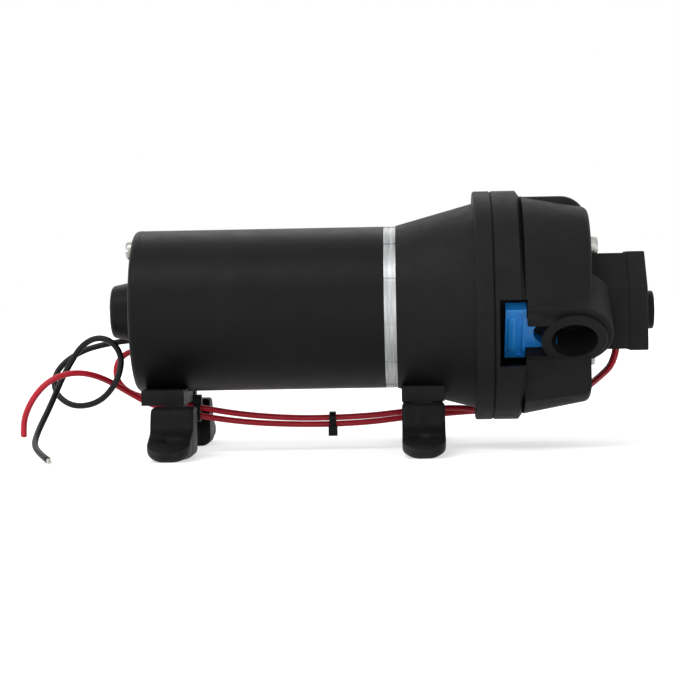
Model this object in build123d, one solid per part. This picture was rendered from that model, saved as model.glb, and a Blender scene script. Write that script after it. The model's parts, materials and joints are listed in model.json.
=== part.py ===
"""Twelve-volt diaphragm water pump for a caravan, lying on four rubber feet.

The motor's axis runs along +X, from the rear cap to the pump head and its pressure
switch. +Z is up. The origin is on the floor, at the centre of the four foot holes.
Lengths are in millimetres. Stations along the motor are counted from the rear end.
"""

import math
import os

from build123d import *

os.makedirs("parts", exist_ok=True)

# Overall layout
AXIS_Z = 59.5
REAR_FOOT_X = 29.0
FOOT_SPACING_X = 101.8
HOLE_SPACING_Y = 108.0
FIT_GAP = 0.1
PRESS_GAP = 0.02

# Motor can, end bells and bearings
CAN_R = 34.0
CAN_WALL = 2.0
CAN_LENGTH = 101.7
BOSS_LENGTH = 10.5
BOSS_BASE_R = 13.0
BOSS_FACE_R = 10.8
CAP_THICKNESS = 3.3
CAP_SPIGOT = 4.0
CAP_EDGE_R = 2.2
BELL_RIM = 4.9
BELL_SPIGOT = 4.5
BELL_NOTCHES = 12
BELL_NOTCH_WIDTH = 1.5
BELL_NOTCH_DEPTH = 0.3
BELL_PILOT = 2.6
BELL_PILOT_R = 28.0
REAR_BEARING = (8.0, 3.0, 5.0)
FRONT_BEARING = (11.0, 4.0, 7.0)
BEARING_LIP = 1.2
THROUGH_BOLT_R = 2.0
THROUGH_BOLT_HEAD_R = 3.9
THROUGH_BOLT_HEAD = 2.8
THROUGH_BOLT_CIRCLE = 27.95
THROUGH_BOLT_ANGLE = 113.2
STAND_SCREW_R = 2.0

# Rotor
SHAFT_R = 4.0
SHAFT_REAR_R = 3.0
SHAFT_START = 3.2
SHAFT_SHOULDER = 8.0
SHAFT_END = 146.0
REAR_BEARING_START = 2.8
CORE_R = 22.8
CORE_LENGTH = 56.0
CORE_SLOTS = 8
CORE_SLOT_WIDTH = 5.0
CORE_SLOT_DEPTH = 9.0
CORE_START = 25.0
WINDING_OVERHANG = 7.0
COMMUTATOR_R = 11.0
COMMUTATOR_LENGTH = 12.0
COMMUTATOR_START = 9.0
MAGNET_INNER_R = 23.8
MAGNET_SPAN = 122.0
MAGNET_LENGTH = 64.0
MAGNET_GAP = 0.7
BRUSH = (8.0, 9.0, 6.0)
BRUSH_INSET = 2.0
BRUSH_PLATE_R = 31.7
BRUSH_PLATE_THICKNESS = 2.0
BRUSH_BARE = 1.4
BRUSH_WALL = 1.3
BRUSH_SPRING_LENGTH = 5.0
BRUSH_SPRING_R = 2.2
SPRING_WIRE_R = 0.3

# Cone, wobble drive and diaphragm
CONE_START_R = 34.2
CONE_LENGTH = 32.4
CONE_WALL = 3.0
CONE_FLOOR = 3.2
REAR_FLANGE = 7.2
SEAT_R = 41.0
SEAT_WALL = 2.0
FLANGE_LIP = 7.0
SEAT_DEPTH = 7.6
CHAMBER_R = 38.0
WOBBLE_ANGLE = 2.5
WOBBLE_STATION = 18.6
CAM_R = 7.0
CAM_LENGTH = 13.0
CAM_BEARING = (11.0, 7.0, 7.0)
CAM_SCREW_X = 134.2
CAM_SCREW_R = 1.1
HUB_GAP = 0.35
HUB_AXIAL_GAP = 1.05
HUB_WALL = 3.0
PLATE_R = 27.0
PISTON_CIRCLE = 20.0
PISTON_R = 7.5
PISTON_DISC = 1.2
PISTON_STEM_R = 2.3
POST_R = 6.4
PISTON_SCREW_R = 1.35
DIAPHRAGM_THICKNESS = 2.0
VALVE_CHAMBER_R = 9.4
VALVE_CHAMBER_DEPTH = 4.2
VALVE_R = 3.4
VALVE_STEM_R = 0.9
OUTLET_STEM = 3.0
OUTLET_STEM_R = 1.2
SCREW_BOSS_START = 134.0
PISTON_STEM_INSERT = 2.9

# Pump head
FRONT_FLANGE = 10.4
FLANGE_STEP = 2.0
BODY_BASE_HALF = 45.3
BODY_BASE_CORNER = 37.0
BODY_END_HALF = 39.8
BODY_END_CORNER = 24.0
BODY_LENGTH = 27.2
BODY_EDGE_R = 3.0
LOBE_HALF_WIDTH = 16.0
LOBE_TOP = 44.9
LOBE_END_R = 11.0
SEAM_GAP = 0.1
SEAM_CHAMFER = 0.5
HEAD_SCREWS = ((24.0, 24.0), (-24.0, 24.0), (12.0, -32.0), (-12.0, -32.0))
LOW_SCREW_RECESS = 4.0
COVER_SCREWS = ((14.0, -22.1), (-14.0, -22.1))
COVER_SCREW_LENGTH = 12.0
COVER_SCREW_HEAD_R = 3.2
HEAD_SCREW_R = 2.2
HEAD_SCREW_HEAD_R = 3.8
HEAD_SCREW_HEAD = 3.4
SCREW_BOSS_R = 4.0
GALLERY_DEPTH = 4.5
GALLERY_INNER_R = 11.5
GALLERY_OUTER_R = 25.0
OUTLET_WELL_R = 9.0
OUTLET_WELL_END = 170.0
OUTLET_SLOT_START = 166.0
PRESSURE_TAP_R = 3.0

# Ports and clips, in a frame whose w axis points out of the port
PORT_STATION = 32.3
PORT_SIDE = 36.0
PORT_DROP = 14.6
PORT_TILT = 45.0
PORT_BORE_R = 9.4
PORT_BORE_DEPTH = 15.0
PORT_TUBE_R = 13.4
PORT_RIM = 2.0
TAIL_ROOM_SIDE = 28.3
COLLAR_R = 16.0
BLOCK_REACH = 19.2
BLOCK_DEPTH = 24.0
PASSAGE_R = 4.6
AXIAL_PASSAGE_R = 4.1
CLIP_DEPTH = 9.0
CLIP_THICKNESS = 4.0
CLIP_GAP = 0.2
CLIP_BAR_HALF = 8.6
CLIP_NOTCH_R = 7.2
CLIP_NOTCH_REACH = 16.5
CLIP_TIP_REACH = 6.4
HANDLE_WIDTH = 8.4
HANDLE_HALF = 14.0
HANDLE_GAP = 0.35
CLIP_TRAVEL = 2.2
HANDLE_CLEARANCE = 0.25
HANDLE_POCKET_Z = (-24.4, 2.6)

# Pressure switch
SWITCH_BODY_LENGTH = 16.8
SWITCH_COVER_LENGTH = 7.4
SWITCH_RIDGE_HALF = 8.0
SWITCH_HALF = 19.8
SWITCH_TOP = 21.0
SWITCH_EAVE = 6.3
SWITCH_BOTTOM = -18.7
SWITCH_WALL = 2.2
COVER_PROUD = 0.6
ADJUSTER_BOSS_R = 8.0
ADJUSTER_BOSS = 4.0
ADJUSTER_DROP = 3.0
ADJUSTER_R = 3.0
SWITCH_DIAPHRAGM_R = 12.0
PLUNGER_R = 2.8
PLUNGER_LENGTH = 5.4
PLUNGER_TRAVEL = 1.0
PLUNGER_FLANGE_R = 6.5
PLUNGER_ARM = 14.0
SWITCH_FLOOR = 4.8
SWITCH_DIAPHRAGM_THICKNESS = 0.9
SWITCH_SPRING_R = 4.4
ADJUSTER_DISC = 1.2
ADJUSTER_DISC_START = 213.0
MICROSWITCH = (13.5, 6.0, 15.0)
MICROSWITCH_Y = 11.6
SWITCH_SCREWS = ((15.8, -14.7), (-15.8, -14.7), (0.0, 15.9))
SWITCH_FIXINGS = ((-10.5, 9.5), (10.5, 9.5))
SWITCH_FIXING_LENGTH = 8.0
SWITCH_SCREW_R = 1.4
SWITCH_SCREW_HEAD_R = 2.8
SWITCH_LEAD_X = 213.4
SWITCH_LEADS_Y = (3.4, 8.6)

# Stands and feet
STAND_WIDTH = 17.6
REAR_STAND_X = 23.6
RAIL_DROP = 38.6
RAIL_HALF = 37.0
SADDLE_HALF = 27.0
SADDLE_HEIGHT = 6.2
LEAD_CHANNEL = (9.5, 19.5)
LEAD_CHANNEL_HEIGHT = 4.2
TEE_WEB = 8.0
TEE_WEB_HEIGHT = 2.5
TEE_FLANGE = 12.6
TEE_FLANGE_HEIGHT = 2.2
TEE_START = 20.0
PAD_WIDTH = 17.4
PAD_REACH = 63.2
PAD_TOP = 20.7
PAD_START = 27.5
PAD_TIP_HEIGHT = 5.6
PAD_TOE_HEIGHT = 11.2
PAD_EDGE_R = 4.0
FOOT_HOLE_R = 2.6

# Leads
LEAD_R = 1.3
GROUND_POINTS = (
    (14.0, 14.0, 47.3), (5.4, 14.0, 47.3), (-7.6, 12.0, 44.4), (-15.4, 10.0, 42.2),
    (-22.0, 8.0, 37.8), (-25.4, 6.0, 31.4), (-24.3, 3.0, 24.7), (-18.7, 0.0, 20.1),
    (-11.1, -3.0, 20.0), (-4.1, -5.0, 22.8), (2.0, -7.0, 28.6), (5.8, -9.0, 35.4),
    (6.1, -10.0, 42.0), (1.5, -11.0, 47.9), (-5.8, -10.5, 49.5), (-12.3, -9.5, 45.7),
    (-16.5, -9.2, 38.9), (-20.0, -10.2, 32.0), (-21.6, -14.0, 25.4), (-22.7, -23.0, 19.1),
    (-23.6, -33.0, 13.5), (-22.7, -43.0, 8.9), (-19.7, -52.0, 5.8), (-16.1, -60.0, 3.4),
)
SUPPLY_POINTS = (
    (-35.4, -20.0, 8.7), (-35.5, -20.2, 13.4), (-34.1, -20.0, 19.1), (-30.7, -19.5, 25.4),
    (-25.5, -18.5, 31.0), (-19.3, -16.0, 34.0), (-12.9, -12.0, 34.6), (-6.8, -6.0, 32.9),
    (-1.1, 1.0, 29.5), (5.5, 8.0, 24.6), (15.0, 11.6, 18.7), (31.5, 13.6, 14.6),
    (53.0, 14.2, 11.0), (74.5, 14.6, 9.7), (92.0, 14.8, 9.5), (108.8, 15.6, 10.2),
    (122.0, 16.8, 11.7), (143.0, 21.4, 13.2), (157.0, 28.6, 13.5), (175.0, 32.8, 13.3),
    (190.0, 34.0, 16.2), (201.0, 33.8, 21.8), (208.2, 21.8, 26.4), (213.4, 8.6, 33.4),
    (213.4, 8.6, 44.4),
)
LINK_POINTS = (
    (14.0, 14.0, 43.1), (6.0, 14.0, 43.1), (-0.6, 14.0, 38.5), (-1.4, 14.0, 30.5),
    (3.9, 14.0, 24.5), (13.6, 14.2, 21.6), (31.5, 14.0, 18.2), (53.0, 13.4, 14.3),
    (74.5, 13.0, 12.5), (92.0, 13.0, 12.4), (108.8, 13.8, 13.0), (122.0, 15.0, 14.4),
    (143.0, 18.4, 15.8), (157.0, 24.6, 14.0), (175.0, 28.4, 13.6), (190.0, 29.6, 16.4),
    (201.0, 28.8, 21.8), (208.2, 16.6, 26.4), (213.4, 3.4, 33.4), (213.4, 3.4, 44.4),
)
GROMMET_HALF_HEIGHT = 5.0
GROMMET_HALF_WIDTH = 2.8
GROMMET_Y = 14.0
GROMMET_DROP = 14.3
LEAD_PITCH = 4.2
TIP_R = 0.8
TIP_LENGTH = 4.0
TIE_MID_X = 92.0
TIE_REAR_X = 33.8
TIE_WIDTH = 2.8
TIE_THICKNESS = 1.0
TIE_GAP = 0.4
TIE_HEAD = 4.2

# Stations along the motor, counted from the rear end of the boss
CAP_FACE = BOSS_LENGTH
CAN_START = CAP_FACE + CAP_THICKNESS
CAN_END = CAN_START + CAN_LENGTH
CONE_START = CAN_END + BELL_RIM
FLANGE_START = CONE_START + CONE_LENGTH
SEAM = FLANGE_START + REAR_FLANGE
HEAD_START = SEAM + SEAM_GAP
BODY_START = HEAD_START + FRONT_FLANGE + FLANGE_STEP
HEAD_END = BODY_START + BODY_LENGTH
COVER_START = HEAD_END + SWITCH_BODY_LENGTH
COVER_END = COVER_START + SWITCH_COVER_LENGTH
WOBBLE_X = CONE_START + WOBBLE_STATION
DIAPHRAGM_START = SEAM - SEAT_DEPTH
CONE_END_R = SEAT_R + SEAT_WALL
FLANGE_R = SEAT_R + FLANGE_LIP
PORT_X = HEAD_START + PORT_STATION
ORIGIN_X = REAR_FOOT_X + FOOT_SPACING_X / 2
FRONT_FOOT_X = REAR_FOOT_X + FOOT_SPACING_X
CAN_INNER_R = CAN_R - CAN_WALL
BELL_SEAT = CONE_START + BELL_PILOT - FRONT_BEARING[2] - 0.2
CORE_START_X = CAN_START + CORE_START
CORE_END_X = CORE_START_X + CORE_LENGTH
BRUSH_START = CAN_START + COMMUTATOR_START + BRUSH_INSET
PLATE_START = WOBBLE_X + 5.5
PLATE_END = PLATE_START + 4.0
STEM_START = DIAPHRAGM_START - PISTON_STEM_INSERT
SCREW_TIP = DIAPHRAGM_START + 0.8
HANDLE_END = PORT_X - BLOCK_REACH - HANDLE_GAP
HANDLE_POCKET_START = HANDLE_END - HANDLE_WIDTH - CLIP_TRAVEL - HANDLE_CLEARANCE
PLUNGER_START = HEAD_END + SWITCH_FLOOR + 0.1
LEAD_EXITS = (LEAD_PITCH / 2 - GROMMET_DROP, -LEAD_PITCH / 2 - GROMMET_DROP)


def station(x, y=0.0, z=0.0):
    """Place something at a station on the motor's axis."""
    return Pos(x - ORIGIN_X, y, AXIS_Z + z)


def rod(start, end, radius, y=0.0, z=0.0):
    """A cylinder along the motor's axis between two stations."""
    middle = (start + end) / 2
    return station(middle, y, z) * Rot(0, 90, 0) * Cylinder(radius, end - start)


def frustum(start, end, start_r, end_r):
    """A cone along the motor's axis between two stations."""
    middle = (start + end) / 2
    return station(middle) * Rot(0, 90, 0) * Cone(start_r, end_r, end - start)


def block(start, end, y_low, y_high, z_low, z_high):
    """A box between two stations, with heights counted from the axis."""
    size = Box(end - start, y_high - y_low, z_high - z_low)
    return station((start + end) / 2, (y_low + y_high) / 2, (z_low + z_high) / 2) * size


def around(count, radius, first=0.0):
    """Points (y, z) evenly spread on a circle about the motor's axis."""
    turns = [math.radians(first + 360 * i / count) for i in range(count)]
    return [(radius * math.cos(t), radius * math.sin(t)) for t in turns]


def on_axis(x):
    """A plane across the motor at a station, with x to the side and y up."""
    return Plane(origin=(x - ORIGIN_X, 0, AXIS_Z), x_dir=(0, 1, 0), z_dir=(1, 0, 0))


def save(name, shape):
    """Write one sub-part, or several separate solids under one name."""
    solids = shape.solids()
    body = solids[0] if len(solids) == 1 else Compound(children=list(solids))
    export_step(body, f"parts/{name}.step")
    return body


def ring(start, end, outer, inner, y=0.0, z=0.0):
    """A tube along the motor's axis."""
    return rod(start, end, outer, y, z) - rod(start - 1, end + 1, inner, y, z)


# Motor can and bells


def bolt_points():
    return around(2, THROUGH_BOLT_CIRCLE, THROUGH_BOLT_ANGLE)


def motor_tube():
    can = ring(CAN_START, CAN_END, CAN_R, CAN_INNER_R)
    hole = Cylinder(STAND_SCREW_R + PRESS_GAP, 3 * CAN_WALL)
    return can - station(REAR_STAND_X, 0, -CAN_R) * hole


def rear_end_cap():
    disc = rod(CAP_FACE, CAN_START, CAN_R)
    edge = disc.edges().filter_by(GeomType.CIRCLE).sort_by(Axis.X)[0]
    disc = fillet(edge, CAP_EDGE_R)
    boss = frustum(0, CAP_FACE, BOSS_FACE_R, BOSS_BASE_R)
    boss = fillet(boss.edges().filter_by(GeomType.CIRCLE).sort_by(Axis.X)[0], 2.0)
    spigot = ring(CAN_START, CAN_START + CAP_SPIGOT, CAN_INNER_R - FIT_GAP, CAN_INNER_R - 2.6)
    cap = disc + boss + spigot
    cap -= rod(REAR_BEARING_START - 0.1, CAN_START + 1, REAR_BEARING[0] + PRESS_GAP)
    for y, z in bolt_points():
        cap -= rod(CAP_FACE - 1, CAN_START + CAP_SPIGOT + 1, THROUGH_BOLT_R + FIT_GAP, y, z)
    return cap - grommet_body(FIT_GAP)


def grommet_body(grow):
    """The oval plug that fills the lead hole in the rear cap."""
    width = GROMMET_HALF_WIDTH + grow
    rise = GROMMET_HALF_HEIGHT - GROMMET_HALF_WIDTH
    start = CAP_FACE - 0.9 - grow
    end = CAN_START + 1.2 + grow
    low = rod(start, end, width, GROMMET_Y, -GROMMET_DROP - rise)
    high = rod(start, end, width, GROMMET_Y, -GROMMET_DROP + rise)
    z_low = -GROMMET_DROP - rise
    z_high = -GROMMET_DROP + rise
    return low + high + block(start, end, GROMMET_Y - width, GROMMET_Y + width, z_low, z_high)


def lead_grommet():
    plug = grommet_body(0)
    for z in LEAD_EXITS:
        plug -= rod(CAP_FACE - 3, CAN_START + 2, LEAD_R + PRESS_GAP, GROMMET_Y, z)
    return plug


def bearing(centre_start, sizes, tilt=0.0):
    """A sealed ball bearing: both rings and the shields between them."""
    outer, inner, width = sizes
    body = Cylinder(outer, width) - Cylinder(inner + PRESS_GAP, width + 1)
    groove_r = (outer + inner) / 2
    groove = Cylinder(groove_r + 0.8, 0.4) - Cylinder(groove_r - 0.8, 0.5)
    body -= Pos(0, 0, width / 2) * groove
    body -= Pos(0, 0, -width / 2) * groove
    return station(centre_start + width / 2) * Rot(0, 90 + tilt, 0) * body


def front_bell():
    outer = FRONT_BEARING[0]
    rim = rod(CAN_END, CONE_START, CAN_R)
    notch = Box(BELL_RIM + 2, BELL_NOTCH_WIDTH, 2 * BELL_NOTCH_DEPTH)
    for i in range(BELL_NOTCHES):
        angle = 10 + 360 * i / BELL_NOTCHES
        rim -= station((CAN_END + CONE_START) / 2) * Rot(angle, 0, 0) * Pos(0, 0, CAN_R) * notch
    spigot = rod(CAN_END - BELL_SPIGOT, CAN_END, CAN_INNER_R - FIT_GAP)
    pilot = rod(CONE_START, CONE_START + BELL_PILOT, BELL_PILOT_R)
    bell = rim + spigot + pilot
    bell -= rod(BELL_SEAT, CONE_START + BELL_PILOT + 1, outer + PRESS_GAP)
    bell -= rod(CAN_END - BELL_SPIGOT - 1, BELL_SEAT + 1, outer - BEARING_LIP)
    relief = ring(CAN_END - BELL_SPIGOT - 1, CAN_END - 1.5, CAN_INNER_R - 3, outer + 3)
    bell -= relief
    for y, z in bolt_points():
        bell += rod(CAN_END - BELL_SPIGOT, CAN_END, THROUGH_BOLT_R + 1.8, y, z)
        bell -= rod(CAN_END - BELL_SPIGOT - 1, CONE_START - 1, THROUGH_BOLT_R + PRESS_GAP, y, z)
    return bell


def through_bolts():
    bolts = Part()
    for y, z in bolt_points():
        head = rod(CAP_FACE - THROUGH_BOLT_HEAD, CAP_FACE, THROUGH_BOLT_HEAD_R, y, z)
        head = fillet(head.edges().filter_by(GeomType.CIRCLE).sort_by(Axis.X)[0], 1.4)
        slot = block(
            CAP_FACE - THROUGH_BOLT_HEAD - 1, CAP_FACE - THROUGH_BOLT_HEAD + 1.2,
            y - 5, y + 5, z - 0.5, z + 0.5,
        )
        shank = rod(CAP_FACE - 0.5, CONE_START - 1.4, THROUGH_BOLT_R, y, z)
        bolts += head - slot + shank
    return bolts


# Rotor


def motor_shaft():
    journal = rod(SHAFT_START, SHAFT_SHOULDER, SHAFT_REAR_R)
    return journal + rod(SHAFT_SHOULDER, SHAFT_END, SHAFT_R)


def slot_bars(start, end, width, depth, inset):
    """Radial bars that fill, or cut, the slots of the armature core."""
    bars = Part()
    for i in range(CORE_SLOTS):
        middle = CORE_R - depth / 2 - inset
        bar = Pos(0, 0, middle) * Box(end - start, width, depth)
        bars += station((start + end) / 2) * Rot(360 * i / CORE_SLOTS, 0, 0) * bar
    return bars


def armature_core():
    core = ring(CORE_START_X, CORE_END_X, CORE_R, SHAFT_R + PRESS_GAP)
    cut = slot_bars(CORE_START_X - 1, CORE_END_X + 1, CORE_SLOT_WIDTH, CORE_SLOT_DEPTH, -1)
    return core - cut


def armature_winding():
    start = CORE_START_X - WINDING_OVERHANG + 3.2
    end = CORE_END_X + WINDING_OVERHANG
    width = CORE_SLOT_WIDTH - 2 * FIT_GAP
    bars = slot_bars(start + 1, end - 1, width, CORE_SLOT_DEPTH - 2.4, 1)
    rear = ring(start, CORE_START_X - FIT_GAP, 20.0, 12.4)
    front = ring(CORE_END_X + FIT_GAP, end, 20.0, 10.0)
    return bars + rear + front


def commutator():
    start = CAN_START + COMMUTATOR_START
    end = start + COMMUTATOR_LENGTH
    body = ring(start, end, COMMUTATOR_R, SHAFT_R + PRESS_GAP)
    for i in range(12):
        groove = Pos(0, 0, COMMUTATOR_R) * Box(COMMUTATOR_LENGTH + 2, 0.6, 1.6)
        body -= station((start + end) / 2) * Rot(30 * i, 0, 0) * groove
    return body


def tilted(shape):
    """Tilt a shape that stands along the axis at the wobble centre."""
    return station(WOBBLE_X) * Rot(0, 90 + WOBBLE_ANGLE, 0) * shape


def drive_cam():
    body = tilted(Cylinder(CAM_R, CAM_LENGTH))
    body -= rod(WOBBLE_X - CAM_LENGTH, WOBBLE_X + CAM_LENGTH, SHAFT_R + PRESS_GAP)
    return body - cam_screw_shape(PRESS_GAP)


def cam_screw_shape(grow):
    """The grub screw that locks the cam to the shaft, behind the bearing."""
    return station(CAM_SCREW_X, 0, CAM_R - 1.6) * Cylinder(CAM_SCREW_R + grow, 2.6 + grow)


def cam_set_screw():
    screw = cam_screw_shape(0)
    socket = station(CAM_SCREW_X, 0, CAM_R) * Cylinder(0.6, 2.0)
    return screw - socket


def cam_bearing():
    outer, inner, width = CAM_BEARING
    body = Cylinder(outer, width) - Cylinder(inner + PRESS_GAP, width + 1)
    return tilted(body)


# Stator


def magnets():
    start = BRUSH_START + BRUSH[0] + BRUSH_WALL + MAGNET_GAP
    tube = ring(start, start + MAGNET_LENGTH, CAN_INNER_R - PRESS_GAP, MAGNET_INNER_R)
    half = MAGNET_SPAN / 2
    arcs = Part()
    for side in (90, -90):
        first = THROUGH_BOLT_ANGLE + side - half
        points = [(0, 0)]
        for i in range(5):
            turn = math.radians(first + MAGNET_SPAN * i / 4)
            points.append((60 * math.cos(turn), 60 * math.sin(turn)))
        wedge = make_face(Polyline(*points, close=True))
        sector = extrude(on_axis(start - 1) * wedge, MAGNET_LENGTH + 2)
        arcs += tube & sector
    return arcs


def brushes():
    long, radial, tall = BRUSH
    inner = COMMUTATOR_R + FIT_GAP
    shapes = Part()
    for side in (1, -1):
        low, high = sorted((side * inner, side * (inner + radial)))
        shapes += block(BRUSH_START, BRUSH_START + long, low, high, -tall / 2, tall / 2)
    return shapes


def brush_plate():
    long, radial, tall = BRUSH
    start = BRUSH_START
    end = start + long
    plate = rod(start + BRUSH_PLATE_THICKNESS, start + 2 * BRUSH_PLATE_THICKNESS, BRUSH_PLATE_R)
    inner = COMMUTATOR_R + BRUSH_BARE
    outer = COMMUTATOR_R + FIT_GAP + radial + BRUSH_SPRING_LENGTH
    for side in (1, -1):
        low, high = sorted((side * inner, side * (outer + BRUSH_WALL)))
        half = tall / 2 + FIT_GAP
        wall = half + BRUSH_WALL
        box = block(start - BRUSH_WALL, end + BRUSH_WALL, low, high, -wall, wall)
        low, high = sorted((side * (inner - 2), side * outer))
        space = block(start - FIT_GAP, end + FIT_GAP, low, high, -half, half)
        plate = plate + box - space
    plate -= rod(start - 5, end + 5, inner)
    for y, z in bolt_points():
        plate -= rod(start, end, THROUGH_BOLT_R + 0.6, y, z)
    return plate - block(start, end, GROMMET_Y - 3, GROMMET_Y + 3, -20, -8)


def coil(radius, wire_r, length, turns):
    """A compression spring along z from the floor of its seat."""
    pitch = (length - 2 * wire_r) / turns
    path = Helix(pitch, length - 2 * wire_r, radius)
    profile = Plane(origin=path @ 0, z_dir=path % 0) * Circle(wire_r)
    return Pos(0, 0, wire_r) * sweep(profile, path)


def brush_springs():
    long, radial, tall = BRUSH
    middle = CAN_START + COMMUTATOR_START + 2 + long / 2
    start = COMMUTATOR_R + FIT_GAP + radial
    springs = Part()
    for side in (1, -1):
        spring = coil(BRUSH_SPRING_R, SPRING_WIRE_R, BRUSH_SPRING_LENGTH, 4)
        springs += station(middle, side * start) * Rot(-90 * side, 0, 0) * spring
    return springs


# Adapter housing


def head_screw_holes(start, end, radius):
    holes = Part()
    for y, z in HEAD_SCREWS:
        holes += rod(start, end, radius, y, z)
    return holes


def tee(end):
    """The tee rail under one end of a stand, which holds a foot pad."""
    low, high = sorted((end * TEE_START, end * RAIL_HALF))
    web = block_at(0, TEE_WEB, low, high, -RAIL_DROP - TEE_WEB_HEIGHT, -RAIL_DROP)
    floor = -RAIL_DROP - TEE_WEB_HEIGHT - TEE_FLANGE_HEIGHT
    return web + block_at(0, TEE_FLANGE, low, high, floor, -RAIL_DROP - TEE_WEB_HEIGHT)


def block_at(x, width, y_low, y_high, z_low, z_high):
    return block(x - width / 2, x + width / 2, y_low, y_high, z_low, z_high)


def stand_block(middle):
    """The flat block of a stand, across the motor."""
    top = SADDLE_HEIGHT - RAIL_DROP
    return block_at(middle, STAND_WIDTH, -SADDLE_HALF, SADDLE_HALF, -RAIL_DROP, top)


def adapter_housing():
    cone = frustum(CONE_START, FLANGE_START, CONE_START_R, CONE_END_R)
    flange = rod(FLANGE_START, SEAM, FLANGE_R)
    rims = flange.edges().filter_by(GeomType.CIRCLE).sort_by(Axis.X)
    flange = chamfer([rims[0], rims[-1]], SEAM_CHAMFER)
    body = cone + flange
    body += stand_block(FRONT_FOOT_X)
    body += Pos(FRONT_FOOT_X, 0, 0) * (tee(1) + tee(-1))
    wall_start = CONE_START + CONE_FLOOR
    cavity = frustum(wall_start, DIAPHRAGM_START, CONE_START_R - CONE_WALL, CHAMBER_R)
    bosses = head_screw_holes(SCREW_BOSS_START, DIAPHRAGM_START, SCREW_BOSS_R) & cone
    body = body - cavity + bosses
    body -= rod(DIAPHRAGM_START, SEAM + 1, SEAT_R)
    body -= rod(CONE_START - 1, wall_start + 1, BELL_PILOT_R + FIT_GAP)
    return body - head_screw_holes(SCREW_BOSS_START + 1, SEAM, HEAD_SCREW_R + PRESS_GAP)


# Wobble plate, pistons and valves


def wobble_plate():
    hub_start = WOBBLE_X - CAM_BEARING[2] / 2 - HUB_AXIAL_GAP
    floor = WOBBLE_X + CAM_BEARING[2] / 2 + HUB_AXIAL_GAP
    web = rod(PLATE_START, PLATE_END, PLATE_R)
    hub_r = CAM_BEARING[0] + HUB_GAP
    hub = rod(hub_start, PLATE_START, hub_r + HUB_WALL)
    plate = web + hub
    for y, z in around(4, PISTON_CIRCLE):
        plate += rod(PLATE_END, DIAPHRAGM_START - FIT_GAP, POST_R, y, z)
    plate -= rod(hub_start - 1, floor, hub_r)
    plate -= rod(floor - 1, PLATE_END + 1, CAM_R + 1.5)
    for y, z in around(4, PISTON_CIRCLE):
        plate -= rod(STEM_START - FIT_GAP, SEAM, PISTON_STEM_R + PRESS_GAP, y, z)
        plate -= rod(PLATE_START - 1, SEAM, PISTON_SCREW_R + PRESS_GAP, y, z)
    return plate


def pistons():
    shapes = Part()
    disc_start = DIAPHRAGM_START + DIAPHRAGM_THICKNESS + FIT_GAP
    for y, z in around(4, PISTON_CIRCLE):
        piston = rod(disc_start, disc_start + PISTON_DISC, PISTON_R, y, z)
        piston += rod(STEM_START, disc_start, PISTON_STEM_R, y, z)
        shapes += piston - rod(STEM_START - 1, SCREW_TIP, PISTON_SCREW_R + PRESS_GAP, y, z)
    return shapes


def piston_screws():
    shapes = Part()
    for y, z in around(4, PISTON_CIRCLE):
        screw = rod(PLATE_START - 2.2, PLATE_START, 2.6, y, z)
        screw += rod(PLATE_START, SCREW_TIP - FIT_GAP, PISTON_SCREW_R, y, z)
        slot = block(PLATE_START - 3, PLATE_START - 1.2, y - 3, y + 3, z - 0.4, z + 0.4)
        shapes += screw - slot
    return shapes


def diaphragm():
    start = DIAPHRAGM_START
    disc = rod(start, start + DIAPHRAGM_THICKNESS, SEAT_R - 0.2)
    disc -= head_screw_holes(start - 1, start + 4, HEAD_SCREW_R + FIT_GAP)
    for y, z in around(4, PISTON_CIRCLE):
        disc -= rod(start - 1, start + 4, PISTON_STEM_R + PRESS_GAP, y, z)
    return disc


def valve_plate():
    start = DIAPHRAGM_START + DIAPHRAGM_THICKNESS
    chamber_end = start + VALVE_CHAMBER_DEPTH
    plate = rod(start, SEAM, SEAT_R - 0.2)
    plate -= head_screw_holes(start - 1, SEAM + 1, HEAD_SCREW_R + FIT_GAP)
    plate -= rod(SEAM - OUTLET_STEM, SEAM + 1, OUTLET_STEM_R + PRESS_GAP)
    for y, z in around(4, PISTON_CIRCLE):
        plate -= rod(start - 1, chamber_end, VALVE_CHAMBER_R, y, z)
        plate -= rod(start, SEAM + 1, VALVE_STEM_R + PRESS_GAP, y, z)
        for dy, dz in around(4, 2.1, 45):
            plate -= rod(start, SEAM + 1, 0.8, y + dy, z + dz)
        inner_y = y * 5 / PISTON_CIRCLE
        inner_z = z * 5 / PISTON_CIRCLE
        plate -= rod(chamber_end - 1.2, SEAM + 1, 0.9, inner_y, inner_z)
        spread = 0.9 + abs(inner_y - y * 0.6)
        tall = 0.9 + abs(inner_z - z * 0.6)
        mid_y = (inner_y + y * 0.6) / 2
        mid_z = (inner_z + z * 0.6) / 2
        plate -= block_around(chamber_end - 1.6, chamber_end, mid_y, mid_z, spread, tall)
    return plate


def block_around(start, end, y, z, width, height):
    return block(start, end, y - width / 2, y + width / 2, z - height / 2, z + height / 2)


def inlet_valves():
    chamber_end = DIAPHRAGM_START + DIAPHRAGM_THICKNESS + VALVE_CHAMBER_DEPTH
    shapes = Part()
    for y, z in around(4, PISTON_CIRCLE):
        disc = rod(chamber_end - 0.8, chamber_end - 0.1, VALVE_R, y, z)
        shapes += disc + rod(chamber_end - 0.5, SEAM - 0.1, VALVE_STEM_R, y, z)
    return shapes


def outlet_valve():
    disc = rod(HEAD_START, HEAD_START + 0.8, OUTLET_WELL_R - 0.8)
    return disc + rod(SEAM - OUTLET_STEM + 0.2, HEAD_START, OUTLET_STEM_R)


# Pump head


def rounded_square(half, corner):
    return RectangleRounded(2 * half, 2 * half, corner)


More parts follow.
